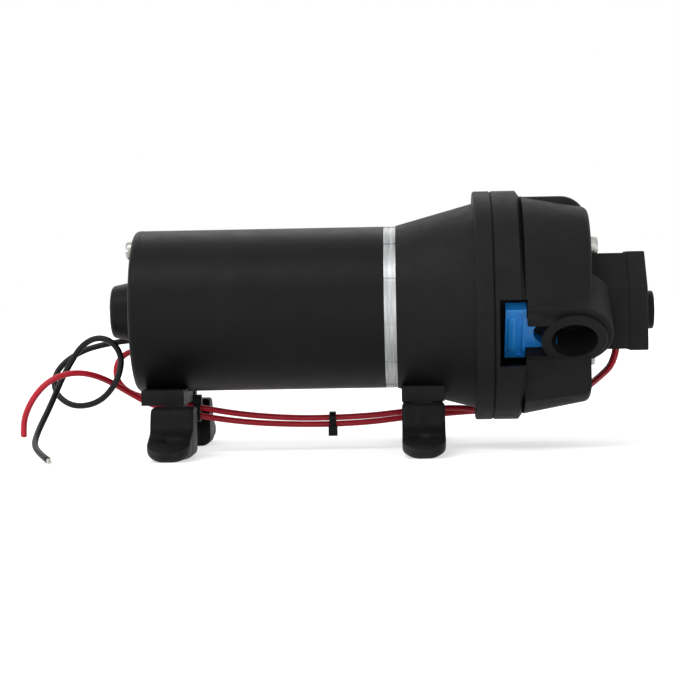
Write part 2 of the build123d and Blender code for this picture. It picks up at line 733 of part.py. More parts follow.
def port_place():
    """The frame of the near port: x along the motor, z out of the port."""
    side = math.sin(math.radians(PORT_TILT))
    origin = (PORT_X - ORIGIN_X, -PORT_SIDE, AXIS_Z - PORT_DROP)
    return Plane(origin=origin, x_dir=(1, 0, 0), z_dir=(0, -side, -side)).location


def port_box(u_low, u_high, v_low, v_high, w_low, w_high):
    box = Box(u_high - u_low, v_high - v_low, w_high - w_low)
    middle = Pos((u_low + u_high) / 2, (v_low + v_high) / 2, (w_low + w_high) / 2)
    return port_place() * middle * box


def port_rod(w_low, w_high, radius):
    return port_place() * Pos(0, 0, (w_low + w_high) / 2) * Cylinder(radius, w_high - w_low)


def both_sides(shape):
    return shape + mirror(shape, about=Plane.XZ)


def port_solid():
    """One port with its collar and the block that carries the clip."""
    collar = port_rod(-BLOCK_DEPTH, -PORT_RIM, COLLAR_R)
    collar = fillet(collar.edges().filter_by(GeomType.CIRCLE).sort_by(Axis.Z)[:1], 1.2)
    carrier = port_box(-BLOCK_REACH, 0, -COLLAR_R, COLLAR_R, -BLOCK_DEPTH, -PORT_RIM)
    tube = port_rod(-BLOCK_DEPTH, 0, PORT_TUBE_R)
    tube = fillet(tube.edges().filter_by(GeomType.CIRCLE).sort_by(Axis.Z)[:1], 0.8)
    return collar + carrier + tube


def port_cuts():
    """What is cut out at one port: the bore, the clip's slot and its handle's pocket."""
    depth = CLIP_DEPTH + CLIP_GAP
    half = CLIP_BAR_HALF + CLIP_GAP
    slot = port_box(-BLOCK_REACH - 1, 0, -half, half, -depth, 5) - port_rod(-30, 6, PORT_TUBE_R)
    cuts = slot + port_rod(-PORT_BORE_DEPTH, 1, PORT_BORE_R)
    for low, high in ((-half, 0.8 - CLIP_NOTCH_R), (CLIP_NOTCH_R - 0.8, half)):
        top = CLIP_GAP + CLIP_THICKNESS - CLIP_DEPTH
        cuts += port_box(-13.6, CLIP_GAP - CLIP_TIP_REACH + 2.2, low, high, -depth, top)
    low = HANDLE_POCKET_Z[0]
    high = HANDLE_POCKET_Z[1]
    pocket = block(HANDLE_POCKET_START, PORT_X - BLOCK_REACH, -60, 0, low, high)
    return cuts + (pocket & port_box(-40, 20, -60, 60, -depth, 70))


def tail_room():
    """Room beside the head for a hose tail on its way into the near port."""
    beside = block(BODY_START, HEAD_END + 1, -2 * PORT_SIDE, -TAIL_ROOM_SIDE, -2 * PORT_SIDE, 0)
    return beside & port_box(-2 * PORT_SIDE, 2 * PORT_SIDE, -80, 80, 0, 2 * PORT_SIDE)


def passage(start, side):
    """The water way from the floor of a port to the valve side of the head."""
    reach = BLOCK_DEPTH * math.sin(math.radians(PORT_TILT))
    y = side * (PORT_SIDE - reach)
    z = reach - PORT_DROP
    drilled = port_rod(-BLOCK_DEPTH - 3, 1 - PORT_BORE_DEPTH, PASSAGE_R)
    if side > 0:
        drilled = mirror(drilled, about=Plane.XZ)
    return drilled + rod(start, PORT_X + 3, AXIAL_PASSAGE_R, y, z)


def pump_head():
    flange = rod(HEAD_START, HEAD_START + FRONT_FLANGE, FLANGE_R)
    rim = flange.edges().filter_by(GeomType.CIRCLE).sort_by(Axis.X)[0]
    flange = chamfer(rim, SEAM_CHAMFER)
    step = frustum(HEAD_START + FRONT_FLANGE, BODY_START, FLANGE_R, BODY_BASE_HALF)
    base = on_axis(BODY_START) * rounded_square(BODY_BASE_HALF, BODY_BASE_CORNER)
    end = on_axis(HEAD_END) * rounded_square(BODY_END_HALF, BODY_END_CORNER)
    body = loft([base, end])
    body = fillet(body.faces().sort_by(Axis.X)[-1].edges(), BODY_EDGE_R)
    lobe = block(BODY_START - 1, HEAD_END, -LOBE_HALF_WIDTH, LOBE_HALF_WIDTH, 20, LOBE_TOP)
    end_edge = lobe.edges().filter_by(Axis.Y).sort_by(Axis.X)[-2:].sort_by(Axis.Z)[-1]
    lobe = fillet(end_edge, LOBE_END_R)
    sides = [e for e in lobe.edges() if e.center().Z > AXIS_Z + LOBE_TOP - LOBE_END_R - 1]
    sides = [e for e in sides if abs(abs(e.center().Y) - LOBE_HALF_WIDTH) < 0.1]
    sides = [e for e in sides if e.bounding_box().size.X > 1]
    lobe = fillet(sides, 2.5)
    head = flange + step + body + lobe - both_sides(tail_room())
    head += both_sides(port_solid())
    head -= both_sides(port_cuts())
    head -= passage(HEAD_START - 1, -1) + passage(OUTLET_SLOT_START, 1)
    head -= ring(HEAD_START - 1, HEAD_START + GALLERY_DEPTH, GALLERY_OUTER_R, GALLERY_INNER_R)
    head -= rod(HEAD_START - 1, OUTLET_WELL_END, OUTLET_WELL_R)
    head -= block(OUTLET_SLOT_START, OUTLET_WELL_END, 0, 19, -1.5, 6.0)
    head -= rod(OUTLET_WELL_END - 1, HEAD_END + 1, PRESSURE_TAP_R)
    head -= extrude(on_axis(HEAD_END) * house(FIT_GAP), 2 * SWITCH_BODY_LENGTH)
    head -= head_screw_holes(HEAD_START - 1, HEAD_END + 1, HEAD_SCREW_R + FIT_GAP)
    for y, z in HEAD_SCREWS[2:]:
        head -= rod(HEAD_END - LOW_SCREW_RECESS, HEAD_END + 1, HEAD_SCREW_HEAD_R + 0.3, y, z)
    for y, z in COVER_SCREWS:
        head -= rod(HEAD_END - COVER_SCREW_LENGTH, HEAD_END + 1, SWITCH_SCREW_R + PRESS_GAP, y, z)
    for y, z in SWITCH_FIXINGS:
        head -= rod(HEAD_END - SWITCH_FIXING_LENGTH, HEAD_END + 1, SWITCH_SCREW_R + PRESS_GAP, y, z)
    return head


def pan_screw(seat, tip, head_r, head_length, shank_r, y, z):
    """A pan-head screw whose head stands on +X of its seat, with a cross recess."""
    head = rod(seat, seat + head_length, head_r, y, z)
    head = fillet(head.edges().filter_by(GeomType.CIRCLE).sort_by(Axis.X)[-1], head_length * 0.35)
    face = seat + head_length
    cross = block(face - 1.2, face + 1, y - 1.9, y + 1.9, z - 0.45, z + 0.45)
    cross += block(face - 1.2, face + 1, y - 0.45, y + 0.45, z - 1.9, z + 1.9)
    return head - cross + rod(tip, seat + 0.5, shank_r, y, z)


def head_screws():
    screws = Part()
    tip = SCREW_BOSS_START + 1.4
    for y, z in HEAD_SCREWS:
        seat = HEAD_END if z > 0 else HEAD_END - LOW_SCREW_RECESS
        screws += pan_screw(seat, tip, HEAD_SCREW_HEAD_R, HEAD_SCREW_HEAD, HEAD_SCREW_R, y, z)
    for y, z in COVER_SCREWS:
        tip_x = HEAD_END - COVER_SCREW_LENGTH + 0.5
        screws += pan_screw(HEAD_END, tip_x, COVER_SCREW_HEAD_R, 2.6, SWITCH_SCREW_R, y, z)
    return screws


def clip():
    """The slide clip of the near port, pushed home."""
    low = -CLIP_DEPTH
    high = low + CLIP_THICKNESS
    half = CLIP_BAR_HALF
    shape = port_box(-BLOCK_REACH - HANDLE_GAP - 1, -CLIP_TIP_REACH, -half, half, low, high)
    notch = port_place() * Pos(CLIP_NOTCH_R - CLIP_NOTCH_REACH, 0, low) * Cylinder(CLIP_NOTCH_R, 20)
    channel_start = CLIP_NOTCH_R - CLIP_NOTCH_REACH
    channel = port_box(channel_start, 5, -CLIP_NOTCH_R, CLIP_NOTCH_R, low - 5, high + 5)
    shape = shape - notch - channel
    end = -BLOCK_REACH - HANDLE_GAP
    handle = port_box(end - HANDLE_WIDTH, end, -HANDLE_HALF, HANDLE_HALF, low, high + 1.0)
    handle = fillet(handle.edges().filter_by(Axis.X), 0.6)
    groove_end = end - HANDLE_WIDTH / 2 + 0.6
    groove = port_box(groove_end, end - 1.4, -HANDLE_HALF + 2, HANDLE_HALF - 2, high + 0.3, high + 3)
    return shape + handle - groove


# Pressure switch


def house(grow):
    """The outline of the switch box across the motor."""
    points = [
        (-SWITCH_RIDGE_HALF, SWITCH_TOP), (SWITCH_RIDGE_HALF, SWITCH_TOP),
        (SWITCH_HALF, SWITCH_EAVE), (SWITCH_HALF, SWITCH_BOTTOM),
        (-SWITCH_HALF, SWITCH_BOTTOM), (-SWITCH_HALF, SWITCH_EAVE),
    ]
    outline = make_face(Polyline(*points, close=True))
    if grow:
        outline = offset(outline, grow, kind=Kind.INTERSECTION)
    return outline


def switch_columns(start, end):
    columns = Part()
    for y, z in SWITCH_SCREWS:
        columns += rod(start, end, SWITCH_SCREW_R + 2.0, y, z)
    return columns


def lead_holes(grow):
    holes = Part()
    for y in SWITCH_LEADS_Y:
        holes += station(SWITCH_LEAD_X, y, SWITCH_BOTTOM) * Cylinder(LEAD_R + grow, 8)
    return holes


def switch_body():
    floor = HEAD_END + SWITCH_FLOOR
    body = extrude(on_axis(HEAD_END) * house(0), SWITCH_BODY_LENGTH)
    body -= extrude(on_axis(floor) * house(-SWITCH_WALL), SWITCH_BODY_LENGTH)
    within = extrude(on_axis(floor - 1) * house(-SWITCH_WALL / 2), SWITCH_BODY_LENGTH)
    body += switch_columns(floor - 1, COVER_START) & within
    drop = -ADJUSTER_DROP
    body -= rod(floor - 1.0, floor + 1, SWITCH_DIAPHRAGM_R + FIT_GAP, 0, drop)
    body -= rod(HEAD_END + 1.8, floor, SWITCH_DIAPHRAGM_R - 2.5, 0, drop)
    body -= rod(HEAD_END - 1, HEAD_END + 3, PRESSURE_TAP_R)
    for y, z in SWITCH_SCREWS:
        body -= rod(floor, COVER_START + 1, SWITCH_SCREW_R + PRESS_GAP, y, z)
    for y, z in SWITCH_FIXINGS:
        body -= rod(HEAD_END - 1, floor + 1, SWITCH_SCREW_R + FIT_GAP, y, z)
    return body - lead_holes(PRESS_GAP)


def switch_fixings():
    """Screws inside the box that hold it to the pump head."""
    screws = Part()
    seat = HEAD_END + SWITCH_FLOOR
    tip = HEAD_END - SWITCH_FIXING_LENGTH + 0.5
    for y, z in SWITCH_FIXINGS:
        screws += pan_screw(seat, tip, 2.4, 1.8, SWITCH_SCREW_R, y, z)
    return screws


def switch_cover():
    inner_end = COVER_END - SWITCH_WALL
    cover = extrude(on_axis(COVER_START) * house(COVER_PROUD), SWITCH_COVER_LENGTH)
    ends = cover.faces().sort_by(Axis.X)[-1].edges()
    cover = fillet(ends, 0.8)
    cover -= extrude(on_axis(COVER_START - 1) * house(-SWITCH_WALL), inner_end - COVER_START + 1)
    within = extrude(on_axis(COVER_START) * house(-SWITCH_WALL / 2), SWITCH_COVER_LENGTH)
    cover += switch_columns(COVER_START, inner_end + 1) & within
    drop = -ADJUSTER_DROP
    boss = rod(inner_end, COVER_END + ADJUSTER_BOSS, ADJUSTER_BOSS_R, 0, drop)
    boss = fillet(boss.edges().filter_by(GeomType.CIRCLE).sort_by(Axis.X)[-1], 0.8)
    cover += boss
    cover -= rod(COVER_START, COVER_END + 9, ADJUSTER_R + 0.06, 0, drop)
    for y, z in SWITCH_SCREWS:
        cover -= rod(COVER_START - 1, COVER_END + 1, SWITCH_SCREW_R + FIT_GAP, y, z)
        cover -= rod(COVER_END - 3.2, COVER_END + 1, SWITCH_SCREW_HEAD_R + FIT_GAP, y, z)
    return cover


def switch_screws():
    screws = Part()
    tip = HEAD_END + SWITCH_FLOOR + 2
    for y, z in SWITCH_SCREWS:
        screws += pan_screw(COVER_END - 3.2, tip, SWITCH_SCREW_HEAD_R, 2.0, SWITCH_SCREW_R, y, z)
    return screws


def switch_diaphragm():
    start = HEAD_END + SWITCH_FLOOR - 1.0
    return rod(start, start + SWITCH_DIAPHRAGM_THICKNESS, SWITCH_DIAPHRAGM_R, 0, -ADJUSTER_DROP)


def switch_plunger():
    drop = -ADJUSTER_DROP
    body = rod(PLUNGER_START, PLUNGER_START + 1.2, PLUNGER_FLANGE_R, 0, drop)
    body += rod(PLUNGER_START, PLUNGER_START + PLUNGER_LENGTH, PLUNGER_R, 0, drop)
    arm = block(PLUNGER_START, PLUNGER_START + 1.2, 0, PLUNGER_ARM, drop - 2.5, drop + 2.5)
    return body + arm


def switch_spring():
    start = PLUNGER_START + 1.2 + PRESS_GAP
    length = ADJUSTER_DISC_START - start - PRESS_GAP
    spring = coil(SWITCH_SPRING_R, 0.45, length, 4.5)
    return station(start, 0, -ADJUSTER_DROP) * Rot(0, 90, 0) * spring


def microswitch():
    long, wide, tall = MICROSWITCH
    end = COVER_END - SWITCH_WALL
    drop = -ADJUSTER_DROP
    body = block_around(end - long, end, MICROSWITCH_Y, drop, wide, tall)
    button_start = PLUNGER_START + 1.2 + PLUNGER_TRAVEL + 0.2
    return body + rod(button_start, end - long + 0.5, 1.2, MICROSWITCH_Y, drop)


def adjuster_screw():
    drop = -ADJUSTER_DROP
    end = COVER_END + ADJUSTER_BOSS - 0.5
    screw = rod(ADJUSTER_DISC_START, ADJUSTER_DISC_START + ADJUSTER_DISC, 5.4, 0, drop)
    screw += rod(ADJUSTER_DISC_START, end, ADJUSTER_R, 0, drop)
    return screw - block(end - 1.5, end + 1, -5, 5, drop - 0.5, drop + 0.5)


# Stands and feet


def rear_stand():
    stand = stand_block(REAR_STAND_X)
    stand -= rod(REAR_STAND_X - STAND_WIDTH, REAR_STAND_X + STAND_WIDTH, CAN_R + PRESS_GAP)
    stand += Pos(REAR_FOOT_X, 0, 0) * (tee(1) + tee(-1))
    low, high = LEAD_CHANNEL
    ceiling = LEAD_CHANNEL_HEIGHT - RAIL_DROP
    stand -= block_at(REAR_STAND_X, 2 * STAND_WIDTH, low, high, -RAIL_DROP - 1, ceiling)
    bore = station(REAR_STAND_X, 0, -CAN_R) * Cylinder(STAND_SCREW_R + FIT_GAP, 40)
    sink = station(REAR_STAND_X, 0, -RAIL_DROP) * Cylinder(3.8, 4.4)
    return stand - bore - sink


def stand_screw():
    seat = AXIS_Z - RAIL_DROP + 2.2
    tip = AXIS_Z - CAN_INNER_R - 0.1
    x = REAR_STAND_X - ORIGIN_X
    shank = Pos(x, 0, (seat + tip) / 2) * Cylinder(STAND_SCREW_R, tip - seat)
    head = Pos(x, 0, seat - 1.0) * Cylinder(3.6, 2.0)
    return head + shank - Pos(x, 0, seat - 2) * Box(8, 0.8, 1.6)


def foot_pad(foot_x, side):
    profile = [
        (PAD_START, PAD_TOP), (RAIL_HALF + 4.5, PAD_TOP), (RAIL_HALF + 7.5, PAD_TOE_HEIGHT),
        (PAD_REACH - 2.7, PAD_TIP_HEIGHT), (PAD_REACH, PAD_TIP_HEIGHT - 0.6), (PAD_REACH, 0),
        (PAD_START + 4, 0), (PAD_START, 6.0),
    ]
    across = Plane(origin=(-PAD_WIDTH / 2, 0, 0), x_dir=(0, 1, 0), z_dir=(1, 0, 0))
    pad = extrude(across * make_face(Polyline(*profile, close=True)), PAD_WIDTH)
    tip_y = PAD_REACH - PAD_WIDTH / 2
    tall = 3 * PAD_TOP
    plan = Pos(0, tip_y, 0) * Cylinder(PAD_WIDTH / 2, tall)
    plan += Pos(0, tip_y / 2, 0) * Box(PAD_WIDTH, tip_y, tall)
    pad = pad & plan
    under = [e for e in pad.edges() if e.bounding_box().max.Z < 0.01]
    under = [e for e in under if e.center().Y > PAD_START + 5]
    pad = fillet(under, PAD_EDGE_R)
    slot_low = AXIS_Z - RAIL_DROP - TEE_WEB_HEIGHT - TEE_FLANGE_HEIGHT - FIT_GAP
    slot_high = AXIS_Z - RAIL_DROP - TEE_WEB_HEIGHT + FIT_GAP
    reach = RAIL_HALF + FIT_GAP
    wide = TEE_FLANGE + 2 * FIT_GAP
    pad -= Pos(0, reach - 15, (slot_low + slot_high) / 2) * Box(wide, 30, slot_high - slot_low)
    pad -= Pos(0, reach - 15, slot_high + 2) * Box(TEE_WEB + 2 * FIT_GAP, 30, 8)
    pad -= Pos(0, HOLE_SPACING_Y / 2, 0) * Cylinder(FOOT_HOLE_R, 60)
    if side < 0:
        pad = mirror(pad, about=Plane.XZ)
    return Pos(foot_x - ORIGIN_X, 0, 0) * pad


# Leads and cable ties


def corner_radii(points):
    """The bend at each corner: 0.45 of the shorter run beside it."""
    radii = []
    for before, here, after in zip(points, points[1:], points[2:]):
        first = Vector(*here) - Vector(*before)
        second = Vector(*after) - Vector(*here)
        turn = math.radians(first.get_angle(second))
        shorter = min(first.length, second.length)
        radii.append(0.45 * shorter / math.tan(turn / 2))
    return radii


def lead(name, stations):
    points = [(x - ORIGIN_X, y, z) for x, y, z in stations]
    radii = corner_radii(points)
    route = FilletPolyline(*points, radius=radii)
    section = Plane(origin=route @ 0, z_dir=route % 0) * Circle(LEAD_R)
    body = sweep(section, route)
    expected = math.pi * LEAD_R ** 2 * route.length
    print(f"{name}: length {route.length:.1f}, smallest radius {min(radii):.1f}")
    print(f"  volume {body.volume:.1f}, section times length {expected:.1f}")
    return body


def lead_tip(end, before):
    """The bare tinned end beyond the insulation."""
    start = Vector(end[0] - ORIGIN_X, end[1], end[2])
    way = (start - Vector(before[0] - ORIGIN_X, before[1], before[2])).normalized()
    plane = Plane(origin=start, z_dir=way)
    return extrude(plane * Circle(TIP_R), TIP_LENGTH)


def cable_tie(x, first, second, head_low):
    """A strap around two leads with its square head."""
    middle_y = (first[0] + second[0]) / 2
    middle_z = (first[1] + second[1]) / 2
    span = math.hypot(first[0] - second[0], first[1] - second[1])
    angle = math.degrees(math.atan2(second[1] - first[1], second[0] - first[0]))
    inner = LEAD_R + TIE_GAP
    outer = inner + TIE_THICKNESS
    long_hole = SlotCenterToCenter(span, 2 * inner)
    long_strap = SlotCenterToCenter(span, 2 * outer)
    corner = (x - TIE_WIDTH / 2 - ORIGIN_X, middle_y, middle_z)
    plane = Plane(origin=corner, x_dir=(0, 1, 0), z_dir=(1, 0, 0))
    strap = extrude(plane * Rot(0, 0, angle) * (long_strap - long_hole), TIE_WIDTH)
    space = extrude(plane * Rot(0, 0, angle) * long_hole, 3 * TIE_WIDTH, both=True)
    head = Box(TIE_WIDTH + 1.0, TIE_HEAD, TIE_HEAD)
    head = Pos(x - ORIGIN_X, middle_y, head_low + TIE_HEAD / 2) * head
    return strap + (head - space)


def main():
    feet = {
        "foot_rear_near": (REAR_FOOT_X, -1), "foot_rear_far": (REAR_FOOT_X, 1),
        "foot_front_near": (FRONT_FOOT_X, -1), "foot_front_far": (FRONT_FOOT_X, 1),
    }
    pieces = {
        "motor_tube": motor_tube(), "rear_end_cap": rear_end_cap(),
        "lead_grommet": lead_grommet(), "front_bell": front_bell(),
        "through_bolts": through_bolts(), "motor_shaft": motor_shaft(),
        "armature_core": armature_core(), "armature_winding": armature_winding(),
        "commutator": commutator(), "drive_cam": drive_cam(),
        "cam_set_screw": cam_set_screw(), "cam_bearing": cam_bearing(),
        "rear_bearing": bearing(REAR_BEARING_START, REAR_BEARING),
        "front_bearing": bearing(BELL_SEAT, FRONT_BEARING),
        "magnets": magnets(), "brushes": brushes(), "brush_plate": brush_plate(),
        "brush_springs": brush_springs(), "adapter_housing": adapter_housing(),
        "wobble_plate": wobble_plate(), "pistons": pistons(),
        "piston_screws": piston_screws(), "diaphragm": diaphragm(),
        "valve_plate": valve_plate(), "inlet_valves": inlet_valves(),
        "outlet_valve": outlet_valve(), "pump_head": pump_head(),
        "head_screws": head_screws(), "inlet_clip": clip(),
        "outlet_clip": mirror(clip(), about=Plane.XZ), "switch_body": switch_body(),
        "switch_fixings": switch_fixings(), "switch_cover": switch_cover(),
        "switch_screws": switch_screws(), "switch_diaphragm": switch_diaphragm(),
        "switch_plunger": switch_plunger(), "switch_spring": switch_spring(),
        "microswitch": microswitch(), "adjuster_screw": adjuster_screw(),
        "rear_stand": rear_stand(), "stand_screw": stand_screw(),
        "ground_lead": lead("ground_lead", GROUND_POINTS),
        "supply_lead": lead("supply_lead", SUPPLY_POINTS),
        "link_lead": lead("link_lead", LINK_POINTS),
        "ground_tip": lead_tip(GROUND_POINTS[-1], GROUND_POINTS[-2]),
        "supply_tip": lead_tip(SUPPLY_POINTS[0], SUPPLY_POINTS[1]),
        "cable_tie_mid": cable_tie(TIE_MID_X, (13.0, 12.4), (14.8, 9.5), 4.6),
        "cable_tie_rear": cable_tie(TIE_REAR_X, (14.0, 17.8), (13.7, 14.2), 19.0),
    }
    for name, (foot_x, side) in feet.items():
        pieces[name] = foot_pad(foot_x, side)
    for name, shape in pieces.items():
        save(name, shape)
        bounds = shape.bounding_box()
        count = len(shape.solids())
        print(f"{name}: {count} solid, volume {shape.volume:.0f}, {bounds.min} {bounds.max}")


main()
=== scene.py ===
import json
import math

import bpy
from mathutils import Matrix, Vector


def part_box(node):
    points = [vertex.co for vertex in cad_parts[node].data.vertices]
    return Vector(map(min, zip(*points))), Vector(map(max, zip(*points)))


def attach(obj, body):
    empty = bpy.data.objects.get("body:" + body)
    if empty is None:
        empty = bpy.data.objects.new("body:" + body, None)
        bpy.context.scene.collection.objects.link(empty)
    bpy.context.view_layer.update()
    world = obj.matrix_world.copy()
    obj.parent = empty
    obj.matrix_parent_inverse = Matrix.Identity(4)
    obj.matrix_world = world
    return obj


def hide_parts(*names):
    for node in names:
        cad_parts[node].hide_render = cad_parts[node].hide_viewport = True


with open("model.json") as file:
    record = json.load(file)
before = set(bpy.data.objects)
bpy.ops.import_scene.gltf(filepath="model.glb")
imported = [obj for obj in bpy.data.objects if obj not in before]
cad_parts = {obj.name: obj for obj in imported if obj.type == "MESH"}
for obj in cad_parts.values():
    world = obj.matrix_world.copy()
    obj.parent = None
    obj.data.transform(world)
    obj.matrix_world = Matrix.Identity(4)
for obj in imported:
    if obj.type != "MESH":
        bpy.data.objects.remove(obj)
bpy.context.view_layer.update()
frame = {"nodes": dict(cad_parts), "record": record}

NODES = frame["nodes"]

# The pump's sizes and places are in millimetres. Stations are counted along the motor from its
# rear end. The camera, the studio and the lengths of the leads are in metres.
AXIS_HEIGHT = 59.5
REAR_STATION = 79.9


def station(x, y, z):
    """A point of the pump, in metres, from its station, side and height."""
    return Vector((x - REAR_STATION, y, z)) / 1000


# Camera

FIELD = 18.07
NEAREST = 0.05
CAMERA_AT = (0.0482, -0.903, 0.06933)
YAW = 2.025
PITCH = 1.480
ROLL = -1.053


def place_camera():
    """The photo's camera, which looks along +Y from the near side."""
    data = bpy.data.cameras.new("camera")
    data.sensor_fit = "HORIZONTAL"
    data.angle = math.radians(FIELD)
    data.clip_start = NEAREST
    camera = bpy.data.objects.new("camera", data)
    turn = Matrix.Rotation(math.radians(YAW), 4, "Z")
    turn = turn @ Matrix.Rotation(math.radians(90 - PITCH), 4, "X")
    turn = turn @ Matrix.Rotation(math.radians(ROLL), 4, "Z")
    camera.matrix_world = Matrix.Translation(CAMERA_AT) @ turn
    bpy.context.scene.collection.objects.link(camera)
    bpy.context.scene.camera = camera
    bpy.context.scene.view_settings.view_transform = "Standard"


# Materials

# The colour sockets of a Mix node.
MIX_SHARE, MIX_FIRST, MIX_SECOND, MIX_RESULT = 0, 6, 7, 2

# Detail of the noise behind a finish, and how much finer the gloss varies than the colour.
COLOUR_DETAIL = 5.0
GLOSS_DETAIL = 6.0
HEIGHT_DETAIL = 2.0
GLOSS_FINER = 2.7

# Turned metal has its grain around the motor's axis.
TURNED = (14, 0.6, 0.6)
DULL = {"Specular_IOR_Level": 0.1}

# Painted shade on the faces of the feet that look up, and how far up a face looks where it starts
# and is full.
TOP_SHADE_COLOUR = (0.004, 0.004, 0.0045)
TOP_SHADE_STARTS = 0.12
TOP_SHADE_FULL = 0.3


def new_material(name):
    material = bpy.data.materials.new(name)
    material.use_nodes = True
    return material


def node(tree, kind, inputs=(), **settings):
    """A shader node with its settings, and its inputs set or linked."""
    made = tree.nodes.new("ShaderNode" + kind)
    for key, value in settings.items():
        setattr(made, key, value)
    for key, value in dict(inputs).items():
        if isinstance(value, bpy.types.NodeSocket):
            tree.links.new(value, made.inputs[key])
        else:
            made.inputs[key].default_value = value
    return made


def place(tree, stretch=(1, 1, 1)):
    """The point on the surface in metres, stretched for a grain with a direction."""
    where = node(tree, "TexCoord").outputs["Object"]
    return node(tree, "Mapping", {"Vector": where, "Scale": stretch}).outputs["Vector"]


def noise(tree, where, scale, detail, roughness=0.55):
    inputs = {"Vector": where, "Scale": scale, "Detail": detail, "Roughness": roughness}
    return node(tree, "TexNoise", inputs).outputs["Fac"]


def spread(tree, value, low, high, start=0.3, end=0.7):
    """A value moved from the range start..end to low..high."""
    inputs = {"Value": value, "From Min": start, "From Max": end, "To Min": low, "To Max": high}
    return node(tree, "MapRange", inputs).outputs["Result"]


def opaque(colour):
    """A colour with its alpha, or the socket that gives one."""
    return colour if isinstance(colour, bpy.types.NodeSocket) else (*colour, 1)


def tint(tree, share, first, second):
    """A colour between two others."""
    inputs = {MIX_SHARE: share, MIX_FIRST: opaque(first), MIX_SECOND: opaque(second)}
    return node(tree, "Mix", inputs, data_type="RGBA").outputs[MIX_RESULT]


def bump(tree, height, strength, distance, normal=None):
    """A surface raised by a height, on top of another bump where one is given."""
    inputs = {"Height": height, "Strength": strength, "Distance": distance}
    if normal is not None:
        inputs["Normal"] = normal
    return node(tree, "Bump", inputs).outputs["Normal"]


def finish(name, dark, light, rough, stretch=(1, 1, 1), mottle=60, grain=2500,
           grain_height=0.00004, grain_strength=0.3, wave=300, wave_height=0.00006,
           wave_strength=0.15, **shader):
    """A surface with an uneven colour and gloss, a coarse unevenness and a fine grain."""
    material = new_material(name)
    tree = material.node_tree
    surface = tree.nodes["Principled BSDF"]
    where = place(tree, stretch)
    patches = spread(tree, noise(tree, where, mottle, COLOUR_DETAIL), 0, 1)
    gloss = spread(tree, noise(tree, where, mottle * GLOSS_FINER, GLOSS_DETAIL), *rough)
    coarse = noise(tree, where, wave, HEIGHT_DETAIL)
    fine = noise(tree, where, grain, HEIGHT_DETAIL)
    shape = bump(tree, coarse, wave_strength, wave_height)
    shape = bump(tree, fine, grain_strength, grain_height, shape)
    tree.links.new(tint(tree, patches, dark, light), surface.inputs["Base Color"])
    tree.links.new(gloss, surface.inputs["Roughness"])
    tree.links.new(shape, surface.inputs["Normal"])
    for key, value in shader.items():
        surface.inputs[key.replace("_", " ")].default_value = value
    return material


def shade_foot_tops(material):
    """Painted shade: a darker colour on the faces that look up, with the gloss left as it is."""
    tree = material.node_tree
    surface = tree.nodes["Principled BSDF"]
    normal = node(tree, "NewGeometry").outputs["Normal"]
    up = node(tree, "SeparateXYZ", {"Vector": normal}).outputs["Z"]
    share = spread(tree, up, 0.0, 1.0, TOP_SHADE_STARTS, TOP_SHADE_FULL)
    sides = surface.inputs["Base Color"].links[0].from_socket
    tree.links.new(tint(tree, share, sides, TOP_SHADE_COLOUR), surface.inputs["Base Color"])


